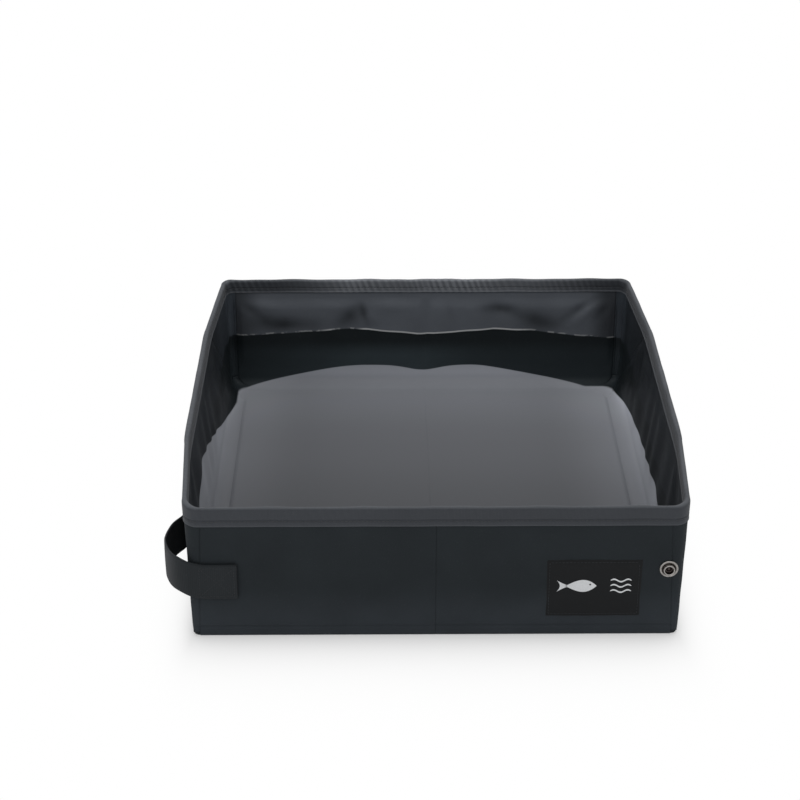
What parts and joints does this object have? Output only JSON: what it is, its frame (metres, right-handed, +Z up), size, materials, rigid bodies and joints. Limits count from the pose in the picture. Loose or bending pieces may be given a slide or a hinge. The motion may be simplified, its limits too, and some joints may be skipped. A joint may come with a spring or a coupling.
{
  "type": "foldable litter box",
  "caption": "Open fabric tray with boarded walls that fold flat inwards, a base that folds in half, soft corner gussets, a webbing strap and a press stud",
  "frame": {"origin": "middle of the base's underside, on the centre crease", "axes": "+X to the right as seen from the front, +Y to the rear, +Z up out of the open tray"},
  "size_m": [0.428, 0.4428, 0.12],
  "materials": {
    "outer_cloth": "ribbed oxford weave, matt",
    "rim_tape": "grosgrain tape, soft sheen",
    "wall_lining": "coated nylon, satin",
    "floor_lining": "smooth coated sheet, satin gloss",
    "board": "extruded sheet",
    "webbing": "woven polypropylene webbing",
    "label": "woven label, satin",
    "snap_metal": "nickel plated"
  },
  "bodies": {
    "base_right": {"base_cloth_right": "outer_cloth", "base_board_right": "board", "floor_lining_right": "floor_lining", "front_foot_band_right": "outer_cloth", "rear_foot_band_right": "outer_cloth"},
    "base_left": {"base_cloth_left": "outer_cloth", "base_board_left": "board", "floor_lining_left": "floor_lining", "front_foot_band_left": "outer_cloth", "rear_foot_band_left": "outer_cloth"},
    "right_wall": {"right_wall_outer": "outer_cloth", "right_wall_board": "board", "right_wall_lining": "wall_lining", "right_wall_rim_tape": "rim_tape"},
    "left_wall": {"left_wall_outer": "outer_cloth", "left_wall_board": "board", "left_wall_lining": "wall_lining", "left_wall_rim_tape": "rim_tape"},
    "front_wall_right": {"front_wall_outer_right": "outer_cloth", "front_wall_board_right": "board", "front_wall_lining_right": "wall_lining", "front_wall_rim_tape_right": "rim_tape", "label_patch": "label", "snap_socket": "snap_metal", "snap_socket_back": "snap_metal"},
    "corner_front_right": {"gusset_front_right": "outer_cloth", "gusset_tape_front_right": "rim_tape"},
    "front_wall_left": {"front_wall_outer_left": "outer_cloth", "front_wall_board_left": "board", "front_wall_lining_left": "wall_lining", "front_wall_rim_tape_left": "rim_tape", "strap_sewn_end": "webbing"},
    "corner_front_left": {"gusset_front_left": "outer_cloth", "gusset_tape_front_left": "rim_tape"},
    "rear_wall_right": {"rear_wall_outer_right": "outer_cloth", "rear_wall_board_right": "board", "rear_wall_lining_right": "wall_lining", "rear_wall_rim_tape_right": "rim_tape"},
    "corner_rear_right": {"gusset_rear_right": "outer_cloth", "gusset_tape_rear_right": "rim_tape"},
    "rear_wall_left": {"rear_wall_outer_left": "outer_cloth", "rear_wall_board_left": "board", "rear_wall_lining_left": "wall_lining", "rear_wall_rim_tape_left": "rim_tape"},
    "corner_rear_left": {"gusset_rear_left": "outer_cloth", "gusset_tape_rear_left": "rim_tape"},
    "strap": {"strap_webbing": "webbing", "strap_stud": "snap_metal", "strap_cap": "snap_metal"}
  },
  "joints": [
    {"name": "base_fold", "type": "hinge", "parent": "base_right", "child": "base_left", "pos_m": [0, 0, -0.00015], "axis": [0, -1, 0], "range_deg": [0, 180]},
    {"name": "right_wall_fold", "type": "hinge", "parent": "base_right", "child": "right_wall", "pos_m": [0.1928, 0, 0.0042], "axis": [0, -1, 0], "range_deg": [0, 95.9]},
    {"name": "left_wall_fold", "type": "hinge", "parent": "base_left", "child": "left_wall", "pos_m": [-0.1928, 0, 0.0042], "axis": [0, 1, 0], "range_deg": [0, 95.9]},
    {"name": "front_right_fold", "type": "hinge", "parent": "base_right", "child": "front_wall_right", "pos_m": [0, -0.2168, 0.0095], "axis": [-1, 0, 0], "range_deg": [0, 90.2]},
    {"name": "corner_front_right_fold", "type": "hinge", "parent": "front_wall_right", "child": "corner_front_right", "pos_m": [0.1946, -0.2167, 0.0042], "axis": [0.0261, 0, 0.9997], "range_deg": [0, 94.26], "deforming": ["gusset_front_right", "gusset_tape_front_right"]},
    {"name": "front_left_fold", "type": "hinge", "parent": "base_left", "child": "front_wall_left", "pos_m": [0, -0.2168, 0.0095], "axis": [-1, 0, 0], "range_deg": [0, 90.2]},
    {"name": "corner_front_left_fold", "type": "hinge", "parent": "front_wall_left", "child": "corner_front_left", "pos_m": [-0.1946, -0.2167, 0.0042], "axis": [0.0261, 0, -0.9997], "range_deg": [0, 94.26], "deforming": ["gusset_front_left", "gusset_tape_front_left"]},
    {"name": "rear_right_fold", "type": "hinge", "parent": "base_right", "child": "rear_wall_right", "pos_m": [0, 0.2168, 0.0095], "axis": [1, 0, 0], "range_deg": [0, 90.2]},
    {"name": "corner_rear_right_fold", "type": "hinge", "parent": "rear_wall_right", "child": "corner_rear_right", "pos_m": [0.1946, 0.2167, 0.0042], "axis": [-0.0261, 0, -0.9997], "range_deg": [0, 94.26], "deforming": ["gusset_rear_right", "gusset_tape_rear_right"]},
    {"name": "rear_left_fold", "type": "hinge", "parent": "base_left", "child": "rear_wall_left", "pos_m": [0, 0.2168, 0.0095], "axis": [1, 0, 0], "range_deg": [0, 90.2]},
    {"name": "corner_rear_left_fold", "type": "hinge", "parent": "rear_wall_left", "child": "corner_rear_left", "pos_m": [-0.1946, 0.2167, 0.0042], "axis": [-0.0261, 0, 0.9997], "range_deg": [0, 94.26], "deforming": ["gusset_rear_left", "gusset_tape_rear_left"]},
    {"name": "strap_swing", "type": "hinge", "parent": "front_wall_left", "child": "strap", "pos_m": [-0.1927, -0.2209, 0.053], "axis": [0, 0, 1], "range_deg": [0, 95]}
  ],
  "couplings": [
    {"joint": "right_wall_fold", "follows": "base_fold", "ratio": 0.53167},
    {"joint": "left_wall_fold", "follows": "base_fold", "ratio": 0.53167},
    {"joint": "front_right_fold", "follows": "base_fold", "ratio": 0.5},
    {"joint": "corner_front_right_fold", "follows": "base_fold", "ratio": 0.52253},
    {"joint": "front_left_fold", "follows": "base_fold", "ratio": 0.5},
    {"joint": "corner_front_left_fold", "follows": "base_fold", "ratio": 0.52253},
    {"joint": "rear_right_fold", "follows": "base_fold", "ratio": 0.5},
    {"joint": "corner_rear_right_fold", "follows": "base_fold", "ratio": 0.52253},
    {"joint": "rear_left_fold", "follows": "base_fold", "ratio": 0.5},
    {"joint": "corner_rear_left_fold", "follows": "base_fold", "ratio": 0.52253}
  ]
}
